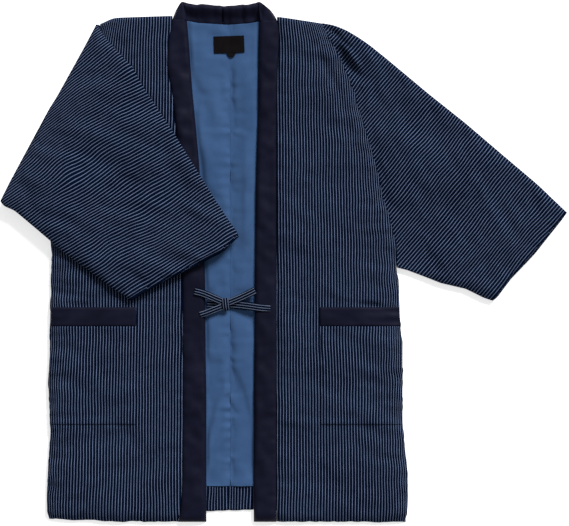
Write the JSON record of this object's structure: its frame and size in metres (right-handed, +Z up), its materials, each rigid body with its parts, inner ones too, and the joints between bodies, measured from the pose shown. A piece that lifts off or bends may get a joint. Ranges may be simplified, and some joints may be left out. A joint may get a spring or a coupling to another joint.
{
  "type": "hanten",
  "caption": "Short padded Japanese jacket laid flat, open at the front over a plain collar band, with tied cords, patch pockets and one wide sleeve folded across.",
  "frame": {"origin": "middle of the outline, on the surface that the garment lies on", "axes": "+X across the garment towards the sleeve that lies out (the wearer's left), +Y from the hem to the collar, +Z up off the surface"},
  "size_m": [0.963, 0.886, 0.0331],
  "materials": {
    "striped_cloth": "matte woven cotton, dark navy with fine pale stripes",
    "plain_navy_cloth": "smooth cotton with a faint sheen",
    "blue_lining": "matte plain-weave lining",
    "black_label": "dense woven satin label, blank"
  },
  "bodies": {
    "root": {"body_right": "striped_cloth", "body_left": "striped_cloth", "lining_right": "blue_lining", "lining_left": "blue_lining", "sleeve_right": "striped_cloth", "sleeve_left": "striped_cloth", "collar_right": "plain_navy_cloth", "collar_left": "plain_navy_cloth", "pocket_right": "striped_cloth", "pocket_left": "striped_cloth", "pocket_band_right": "plain_navy_cloth", "pocket_band_left": "plain_navy_cloth", "tie_right": "striped_cloth", "tie_left": "striped_cloth", "label": "black_label", "size_tab": "black_label"}
  },
  "joints": []
}
